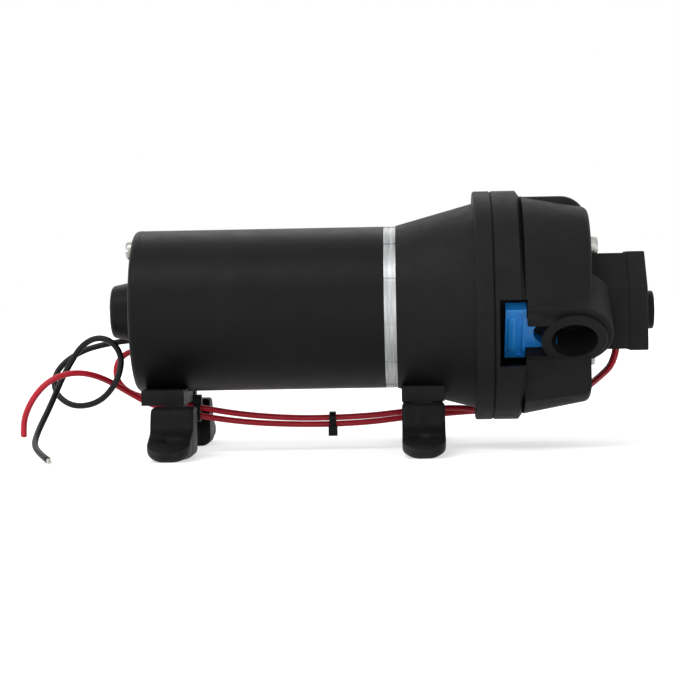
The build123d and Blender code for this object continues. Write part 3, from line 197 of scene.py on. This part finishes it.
def make_materials():
    """The finish of each material slot of the record."""
    made = {
        "painted_can": finish("satin_black_paint", (0.006, 0.006, 0.0065), (0.009, 0.009, 0.0095),
                              (0.4, 0.48), mottle=45, grain=3200, wave=520, **DULL),
        "moulded_black": finish("textured_black_plastic", (0.01, 0.01, 0.0105),
                                (0.014, 0.014, 0.0145), (0.5, 0.62), mottle=70, grain=2600,
                                grain_strength=0.45, wave=240, **DULL),
        "aluminium_bell": finish("turned_aluminium", (0.27, 0.275, 0.28), (0.5, 0.505, 0.51),
                                 (0.3, 0.5), stretch=TURNED, mottle=120, grain=900,
                                 Metallic=1.0),
        "zinc_screw": finish("zinc_plate", (0.3, 0.3, 0.28), (0.5, 0.5, 0.47), (0.3, 0.45),
                             mottle=300, grain=2600, Metallic=1.0),
        "steel": finish("ground_steel", (0.42, 0.43, 0.45), (0.6, 0.61, 0.63), (0.2, 0.36),
                        stretch=TURNED, mottle=200, grain=1400, Metallic=1.0),
        "foot_rubber": finish("dark_rubber", (0.008, 0.008, 0.0085), (0.03, 0.03, 0.031),
                              (0.5, 0.7), stretch=(1, 0.5, 0.3), mottle=130, grain=1800,
                              grain_strength=0.5, **DULL),
        "clip_blue": finish("blue_plastic", (0.014, 0.25, 0.75), (0.02, 0.31, 0.88),
                            (0.3, 0.4), mottle=110, grain=1500, grain_strength=0.12),
        "lead_red": finish("red_insulation", (0.46, 0.008, 0.022), (0.58, 0.013, 0.034),
                           (0.3, 0.42), mottle=160, grain=2400, grain_strength=0.1,
                           Specular_IOR_Level=0.3),
        "lead_black": finish("black_insulation", (0.006, 0.006, 0.0065), (0.011, 0.011, 0.012),
                             (0.3, 0.42), mottle=160, grain=2400, grain_strength=0.1,
                             Specular_IOR_Level=0.18),
        "tinned_copper": finish("tinned_strands", (0.55, 0.53, 0.5), (0.75, 0.72, 0.68),
                                (0.25, 0.4), mottle=600, grain=3000, Metallic=1.0),
        "tie_black": finish("tie_nylon", (0.006, 0.006, 0.0065), (0.012, 0.012, 0.013),
                            (0.4, 0.55), mottle=200, grain=2200, **DULL),
        "copper": finish("enamelled_copper", (0.5, 0.16, 0.05), (0.66, 0.24, 0.08),
                         (0.25, 0.4), mottle=400, grain=2500, Metallic=1.0),
        "brass": finish("machined_brass", (0.6, 0.4, 0.14), (0.72, 0.5, 0.2), (0.22, 0.36),
                        stretch=TURNED, mottle=200, grain=1400, Metallic=1.0),
        "magnet_ferrite": finish("sintered_ferrite", (0.06, 0.06, 0.065), (0.11, 0.11, 0.115),
                                 (0.55, 0.75), mottle=150, grain=2200),
        "carbon": finish("brush_carbon", (0.03, 0.03, 0.03), (0.05, 0.05, 0.05), (0.45, 0.7),
                         mottle=300, grain=3000),
        "spring_steel": finish("spring_wire", (0.45, 0.45, 0.45), (0.62, 0.62, 0.62),
                               (0.2, 0.35), mottle=400, grain=3000, Metallic=1.0),
        "soft_rubber": finish("seal_rubber", (0.018, 0.018, 0.018), (0.03, 0.03, 0.03),
                              (0.5, 0.7), mottle=150, grain=2400),
        "valve_plastic": finish("natural_plastic", (0.6, 0.58, 0.52), (0.7, 0.68, 0.62),
                                (0.35, 0.5), mottle=150, grain=2400),
    }
    # The feet's upward faces are darkened with painted shade.
    shade_foot_tops(made["foot_rubber"])
    return made


def dress_nodes(materials):
    """Each carried-over solid takes the finish of its own material slot."""
    for part in frame["record"]["subparts"]:
        for held in NODES[part["node"]].material_slots:
            held.material = materials[part["material_slot"]]


# Pieces

RING_STEPS = 128

# The joint line between the rear cap and the can: its stations, its foot and its face.
SEAM_START = 13.55
SEAM_END = 14.0
SEAM_FOOT_R = 33.9
SEAM_R = 34.08


def mesh_piece(name, points, faces, material, smooth=True, body="pump"):
    """An object from points in metres and faces, which moves with a body."""
    mesh = bpy.data.meshes.new(name)
    mesh.from_pydata(points, [], faces)
    mesh.materials.append(material)
    mesh.polygons.foreach_set("use_smooth", [smooth] * len(mesh.polygons))
    piece = bpy.data.objects.new(name, mesh)
    bpy.context.scene.collection.objects.link(piece)
    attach(piece, body)
    return piece


def skin(rows):
    """The faces between rows of points, each row closed on itself, with both ends capped."""
    wide = len(rows[0])
    points = [point for row in rows for point in row]
    faces = []
    for i in range(len(rows) - 1):
        for j in range(wide):
            here = i * wide + j
            beside = i * wide + (j + 1) % wide
            faces.append((here, beside, beside + wide, here + wide))
    faces.append(tuple(reversed(range(wide))))
    faces.append(tuple(range(len(points) - wide, len(points))))
    return points, faces


def turned_ring(name, profile, material):
    """A ring about the motor's axis from the (station, radius) points of its section."""
    points = []
    for i in range(RING_STEPS):
        turn = 2 * math.pi * i / RING_STEPS
        for x, r in profile:
            offset = Vector((0, r * math.cos(turn), r * math.sin(turn))) / 1000
            points.append(station(x, 0, AXIS_HEIGHT) + offset)
    faces = []
    wide = len(profile)
    for i in range(RING_STEPS):
        for j in range(wide):
            here = i * wide + j
            beside = i * wide + (j + 1) % wide
            after = ((i + 1) % RING_STEPS) * wide
            faces.append((here, after + j, after + (j + 1) % wide, beside))
    return mesh_piece(name, points, faces, material, smooth=False)


def make_seam(materials):
    """The dark joint line between the rear cap and the can."""
    profile = ((SEAM_START, SEAM_FOOT_R), (SEAM_START, SEAM_R),
               (SEAM_END, SEAM_R), (SEAM_END, SEAM_FOOT_R))
    turned_ring("cap_seam", profile, materials["tie_black"])


# Clips

# A port's middle from the frame's origin, its slant, and the face of the clip's handle, which is
# measured along the port's axis. The rib's place is measured along the motor from the port.
PORT_AT = (112.5, 36.0, 44.9)
PORT_TILT = 45.0
CLIP_FACE = -4.0
RIB_AT = -25.6
RIB_HALF_WIDTH = 1.7
RIB_HALF_LENGTH = 9.6
RIB_HEIGHT = 0.45

# The rib's section and its rows, as shares of these sizes: (across, height) and (along, shrink).
RIB_SECTION = ((-1, -0.2), (-1, 0.0), (-0.45, 1.0), (0.45, 1.0), (1, 0.0), (1, -0.2))
RIB_ROWS = ((-1, 0.35), (-0.93, 0.0), (0.93, 0.0), (1, 0.35))


def clip_rib(name, side, body, material):
    """The raised rib down the face of a clip's handle, with sloping flanks."""
    tilt = math.radians(PORT_TILT)
    outward = Vector((0, side * math.sin(tilt), -math.cos(tilt)))
    upward = Vector((0, side * math.cos(tilt), math.sin(tilt)))
    origin = Vector((PORT_AT[0], side * PORT_AT[1], PORT_AT[2]))
    rows = []
    for along, shrink in RIB_ROWS:
        row = []
        for across, height in RIB_SECTION:
            u = RIB_AT + across * RIB_HALF_WIDTH * (1 - shrink)
            lift = RIB_HEIGHT * (height - shrink if height > 0 else height)
            point = origin + Vector((u, 0, 0)) + upward * (along * RIB_HALF_LENGTH)
            row.append((point + outward * (CLIP_FACE + lift)) / 1000)
        rows.append(row if side < 0 else row[::-1])
    points, faces = skin(rows)
    mesh_piece(name, points, faces, material, smooth=False, body=body)


def make_clip_ribs(materials):
    clip_rib("inlet_clip_rib", -1, "inlet_slide", materials["clip_blue"])
    clip_rib("outlet_clip_rib", 1, "outlet_slide", materials["clip_blue"])


# Feet

FEET = ("foot_rear_near", "foot_rear_far", "foot_front_near", "foot_front_far")

# A foot runs outward from the pump's middle plane, and its toe is round seen from above.
PAD_START = 27.5
PAD_REACH = 63.2
PAD_HALF = 8.7
TOE_MIDDLE = 54.5
PAD_ROWS = 46

# The last row stays this far inside the reach, so that the toe doesn't end in a point.
TIP_GAP = 0.02

# Height of the top and radius of the sole's edge, against the distance from the middle plane.
PAD_TOPS = ((27.5, 20.6), (39.5, 20.7), (41.4, 20.0), (42.6, 17.2), (43.9, 13.0), (46.0, 11.2),
            (50.0, 9.9), (56.0, 7.6), (60.0, 6.2), (61.8, 5.4), (62.7, 4.7), (63.2, 3.9))
SOLE_EDGES = ((44.0, 3.0), (56.0, 5.6))
TOP_EDGE = 1.3

# The sole curls up over this radius at the toe, by this share of a full round.
TOE_SOLE_R = 5.0
TOE_SOLE_CURL = 0.7

# The sole's edge is wider than it is tall. An edge takes at most these shares of a section's
# half width and height.
SOLE_EDGE_WIDER = 1.3
SOLE_EDGE_MOST = (0.75, 0.6)
TOP_EDGE_MOST = (0.5, 0.38)
EDGE_STEPS = 7
THINNEST = 0.01

# The screw hole, and the heights between which it is cut.
FOOT_HOLE_AT = 54.0
FOOT_HOLE_R = 2.6
DRILL_SPAN = (-20, 50)
DRILL_STEPS = 32


def between(table, at):
    """The value of a table of (place, value) pairs at a place."""
    for (start, low), (end, high) in zip(table, table[1:]):
        if at <= end:
            return low + (high - low) * max(0.0, at - start) / (end - start)
    return table[-1][1]


def rounded_section(half, low, high, sole_edge, top_edge):
    """Points (x, z) round a section with two radii, which shrink to fit it."""
    tall = max(high - low, THINNEST)
    sole = (min(SOLE_EDGE_WIDER * sole_edge, SOLE_EDGE_MOST[0] * half),
            min(sole_edge, SOLE_EDGE_MOST[1] * tall))
    top = (min(top_edge, TOP_EDGE_MOST[0] * half), min(top_edge, TOP_EDGE_MOST[1] * tall))
    corners = ((half, low, -90, sole), (half, high, 0, top),
               (-half, high, 90, top), (-half, low, 180, sole))
    points = []
    for x, z, first, (rx, rz) in corners:
        middle_x = x - math.copysign(rx, x)
        middle_z = z + rz if z == low else z - rz
        for i in range(EDGE_STEPS):
            turn = math.radians(first + 90 * i / (EDGE_STEPS - 1))
            points.append((middle_x + rx * math.cos(turn), middle_z + rz * math.sin(turn)))
    return points


def quarter_round(radius, past):
    """What is left of a radius when a point is this far past the middle of its round."""
    return math.sqrt(max(radius ** 2 - max(0.0, past) ** 2, 0.0))


def foot_piece(name, solid, foot_x, side, material):
    """A rubber foot with a rounded toe and the hole for its screw."""
    rows = []
    for i in range(PAD_ROWS + 1):
        share = math.sin(math.pi / 2 * i / PAD_ROWS)
        y = PAD_START + (PAD_REACH - TIP_GAP - PAD_START) * share
        half = quarter_round(PAD_HALF, y - TOE_MIDDLE)
        curl = TOE_SOLE_R - quarter_round(TOE_SOLE_R, y - PAD_REACH + TOE_SOLE_R)
        section = rounded_section(half, curl * TOE_SOLE_CURL, between(PAD_TOPS, y),
                                  between(SOLE_EDGES, y), TOP_EDGE)
        rows.append([Vector((foot_x + x, side * y, z)) / 1000 for x, z in section])
    if side > 0:
        rows.reverse()
    points, faces = skin(rows)
    piece = mesh_piece(name, points, faces, material)
    drill(piece, Vector((foot_x, side * FOOT_HOLE_AT, 0)) / 1000, FOOT_HOLE_R / 1000)
    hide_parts(solid)


def drill(piece, at, radius):
    """Cut an upright hole right through a piece."""
    turns = [2 * math.pi * i / DRILL_STEPS for i in range(DRILL_STEPS)]
    rows = [[at + Vector((radius * math.cos(turn), radius * math.sin(turn), height / 1000))
             for turn in turns] for height in DRILL_SPAN]
    points, faces = skin(rows)
    mesh = bpy.data.meshes.new("drill")
    mesh.from_pydata(points, [], faces)
    cutter = bpy.data.objects.new("drill", mesh)
    bpy.context.scene.collection.objects.link(cutter)
    cut = piece.modifiers.new("hole", "BOOLEAN")
    cut.operation = "DIFFERENCE"
    cut.solver = "EXACT"
    cut.object = cutter
    bpy.context.view_layer.update()
    graph = bpy.context.evaluated_depsgraph_get()
    cut_mesh = bpy.data.meshes.new_from_object(piece.evaluated_get(graph))
    piece.modifiers.clear()
    piece.data = cut_mesh
    bpy.data.objects.remove(cutter)


def make_feet(materials):
    """Four rubber feet in place of the plain solids, each centred on its own."""
    for name in FEET:
        low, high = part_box(name)
        foot_x = 1000 * (low[0] + high[0]) / 2
        side = 1 if low[1] > 0 else -1
        foot_piece(name + "_rubber", name, foot_x, side, materials["foot_rubber"])


# Leads

# The routes are chosen along the photo, as (station, side, height).
LEAD_R = 1.3
GROUND = (
    (14.0, 14.0, 47.3), (5.4, 14.0, 47.3), (-7.6, 12.0, 45.2), (-15.4, 10.0, 42.8),
    (-23.2, 8.0, 37.8), (-27.0, 6.0, 31.4), (-25.4, 3.0, 24.7), (-18.9, 0.0, 20.1),
    (-11.1, -3.0, 20.0), (-4.3, -5.0, 22.8), (1.0, -7.0, 28.6), (4.2, -9.0, 35.4),
    (4.5, -10.0, 42.0), (0.7, -11.0, 47.7), (-5.8, -10.5, 49.3), (-12.3, -9.5, 45.7),
    (-16.8, -9.2, 38.9), (-20.6, -10.2, 32.0), (-23.0, -14.0, 25.4), (-25.0, -23.0, 18.4),
    (-26.8, -33.0, 12.2), (-27.2, -43.0, 7.0), (-23.6, -52.0, 4.0), (-18.8, -60.0, 2.0),
)
SUPPLY = (
    (213.4, 8.6, 44.4), (212.6, 8.6, 34.6), (205.8, 21.8, 26.8), (201.0, 33.8, 21.8),
    (190.0, 34.0, 16.2), (175.0, 32.8, 13.3), (157.0, 28.6, 13.5), (143.0, 21.4, 13.2),
    (122.0, 16.8, 11.7), (108.8, 15.6, 10.2), (92.0, 14.8, 9.5), (74.5, 14.6, 9.7),
    (53.0, 14.2, 11.0), (31.5, 13.6, 14.6), (15.0, 11.6, 18.7), (5.5, 8.0, 24.6),
    (-1.1, 1.0, 29.5), (-6.8, -6.0, 32.9), (-12.9, -12.0, 34.6), (-19.3, -16.0, 34.0),
    (-25.5, -18.5, 31.0), (-30.7, -19.5, 25.4), (-34.1, -20.0, 19.1), (-35.5, -20.2, 13.4),
    (-35.4, -20.0, 8.7),
)
LINK = (
    (14.0, 14.0, 43.1), (6.0, 14.0, 43.1), (-0.6, 14.0, 38.5), (-1.4, 14.0, 30.5),
    (3.9, 14.0, 24.5), (13.6, 14.2, 21.6), (31.5, 14.0, 18.2), (53.0, 13.4, 14.3),
    (74.5, 13.0, 12.5), (92.0, 13.0, 12.4), (108.8, 13.8, 13.0), (122.0, 15.0, 14.4),
    (143.0, 18.4, 15.8), (157.0, 24.6, 14.0), (175.0, 28.4, 13.6), (190.0, 29.6, 16.4),
    (201.0, 28.8, 21.8), (205.8, 16.6, 26.8), (212.6, 3.4, 34.6), (213.4, 3.4, 44.4),
)

# The wires at a bare end: one in the middle and the rest round it, with a twist in degrees. They
# start inside the insulation, open out by a share, and are cut to three lengths a share apart.
WIRE_R = 0.29
WIRES_AROUND = 6
WIRE_TWIST = 80
WIRE_SUNK = 0.2
WIRE_OPENS = 0.25
WIRE_SHORTER = 0.05
WIRE_RINGS = 6
WIRE_SIDES = 8
GROUND_BARE = 3.0
SUPPLY_BARE = 0.6


def lead(name, points, material, solid):
    """A round lead along a smooth curve through its route, in place of the plain solid."""
    curve = bpy.data.curves.new(name, "CURVE")
    curve.dimensions = "3D"
    curve.bevel_depth = LEAD_R / 1000
    curve.bevel_resolution = 5
    curve.resolution_u = 8
    curve.use_fill_caps = True
    spline = curve.splines.new("NURBS")
    spline.points.add(len(points) - 1)
    for point, place_at in zip(spline.points, points):
        point.co = (*station(*place_at), 1)
    spline.order_u = 3
    spline.use_endpoint_u = True
    curve.materials.append(material)
    piece = bpy.data.objects.new(name, curve)
    bpy.context.scene.collection.objects.link(piece)
    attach(piece, "pump")
    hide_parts(solid)


def strands(name, solid, route, bare, material):
    """The wires at the bare end of a lead's route, with one in the middle."""
    end = station(*route[-1])
    way = (end - station(*route[-2])).normalized()
    across = way.orthogonal().normalized()
    other = way.cross(across)
    wire_r = WIRE_R / 1000
    points, faces = [], []
    for k in range(1 + WIRES_AROUND):
        rows = []
        for i in range(WIRE_RINGS + 1):
            share = i / WIRE_RINGS
            turn = math.radians(360 / WIRES_AROUND * k + WIRE_TWIST * share)
            splay = 0 if k == 0 else 2.0 * wire_r * (1 + WIRE_OPENS * share)
            reach = (bare * share * (1 - WIRE_SHORTER * (k % 3)) - WIRE_SUNK) / 1000
            aside = splay * (across * math.cos(turn) + other * math.sin(turn))
            middle = end + way * reach + aside
            row = []
            for j in range(WIRE_SIDES):
                spin = 2 * math.pi * j / WIRE_SIDES
                row.append(middle + wire_r * (across * math.cos(spin) + other * math.sin(spin)))
            rows.append(row)
        wire_points, wire_faces = skin(rows)
        start = len(points)
        points += wire_points
        faces += [tuple(start + v for v in face) for face in wire_faces]
    piece = mesh_piece(name, points, faces, material)
    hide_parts(solid)
    return piece


def make_leads(materials):
    """The three leads with their bare ends."""
    black_end = strands("ground_strands", "ground_tip", GROUND, GROUND_BARE,
                        materials["tinned_copper"])
    red_end = strands("supply_strands", "supply_tip", SUPPLY, SUPPLY_BARE, materials["copper"])
    lead("ground_lead_bent", GROUND, materials["lead_black"], "ground_lead")
    lead("supply_lead_bent", SUPPLY, materials["lead_red"], "supply_lead")
    lead("link_lead_bent", LINK, materials["lead_red"], "link_lead")


# Studio

WORLD_LIGHT = 0.5
WHITE = (1, 1, 1, 1)

# The floor glows less near the pump, where the lamps light it, and fully from FLOOR_FAR on.
FLOOR_HALF = 6.0
FLOOR_COLOUR = (0.8, 0.8, 0.8, 1)
FLOOR_ROUGHNESS = 0.9
FLOOR_SPECULAR = 0.1
FLOOR_NEAR, FLOOR_FAR = 0.25, 0.9
NEAR_GLOW, FAR_GLOW = 0.58, 1.0

# Lamps: name, place, width, height and watts.
LAMP_AIM = (0.03, 0, 0.06)
LAMPS = (
    ("key", (-0.45, -0.85, 1.3), 0.9, 0.5, 9),
    ("front", (0.1, -1.6, 0.25), 1.2, 0.8, 3.5),
    ("rim", (0.05, 0.95, 0.95), 1.6, 0.4, 3.4),
    ("left", (-1.5, -0.35, 0.35), 0.7, 0.7, 4.5),
)


def lamp(name, at, wide, tall, power):
    """A rectangular lamp that looks at the pump."""
    data = bpy.data.lights.new(name, "AREA")
    data.shape = "RECTANGLE"
    data.size = wide
    data.size_y = tall
    data.energy = power
    light = bpy.data.objects.new(name, data)
    light.location = at
    aim = Vector(LAMP_AIM) - Vector(at)
    light.rotation_euler = aim.to_track_quat("-Z", "Y").to_euler()
    bpy.context.scene.collection.objects.link(light)


def shown_white(tree, plain):
    """White where the camera, a reflection or clear glass sees it, and plain elsewhere."""
    path = node(tree, "LightPath")
    seen = path.outputs["Is Camera Ray"]
    for kind in ("Is Glossy Ray", "Is Transmission Ray"):
        seen = node(tree, "Math", {0: seen, 1: path.outputs[kind]},
                    operation="MAXIMUM").outputs["Value"]
    return spread(tree, seen, plain, 1.0, 0.0, 1.0)


def make_world():
    """A white surround that lights the pump less than it shows."""
    world = bpy.data.worlds.new("studio")
    world.use_nodes = True
    bpy.context.scene.world = world
    tree = world.node_tree
    background = tree.nodes["Background"]
    background.inputs["Color"].default_value = WHITE
    tree.links.new(shown_white(tree, WORLD_LIGHT), background.inputs["Strength"])


def make_floor():
    """A pale floor that takes a soft shadow and fades into the white."""
    mesh = bpy.data.meshes.new("floor")
    corners = [(x * FLOOR_HALF, y * FLOOR_HALF, 0) for x, y in ((-1, -1), (1, -1), (1, 1), (-1, 1))]
    mesh.from_pydata(corners, [], [(0, 1, 2, 3)])
    floor = bpy.data.objects.new("floor", mesh)
    bpy.context.scene.collection.objects.link(floor)
    material = new_material("pale_floor")
    tree = material.node_tree
    surface = tree.nodes["Principled BSDF"]
    surface.inputs["Base Color"].default_value = FLOOR_COLOUR
    surface.inputs["Roughness"].default_value = FLOOR_ROUGHNESS
    surface.inputs["Specular IOR Level"].default_value = FLOOR_SPECULAR
    surface.inputs["Emission Color"].default_value = WHITE
    away = node(tree, "VectorMath", {0: place(tree)}, operation="LENGTH").outputs["Value"]
    glow = spread(tree, away, NEAR_GLOW, FAR_GLOW, FLOOR_NEAR, FLOOR_FAR)
    glow = node(tree, "Math", {0: glow, 1: shown_white(tree, 0.0)}, operation="MULTIPLY")
    tree.links.new(glow.outputs["Value"], surface.inputs["Emission Strength"])
    mesh.materials.append(material)


def make_studio():
    make_world()
    make_floor()
    for settings in LAMPS:
        lamp(*settings)


place_camera()
materials = make_materials()
dress_nodes(materials)
make_leads(materials)
make_seam(materials)
make_feet(materials)
make_clip_ribs(materials)
make_studio()
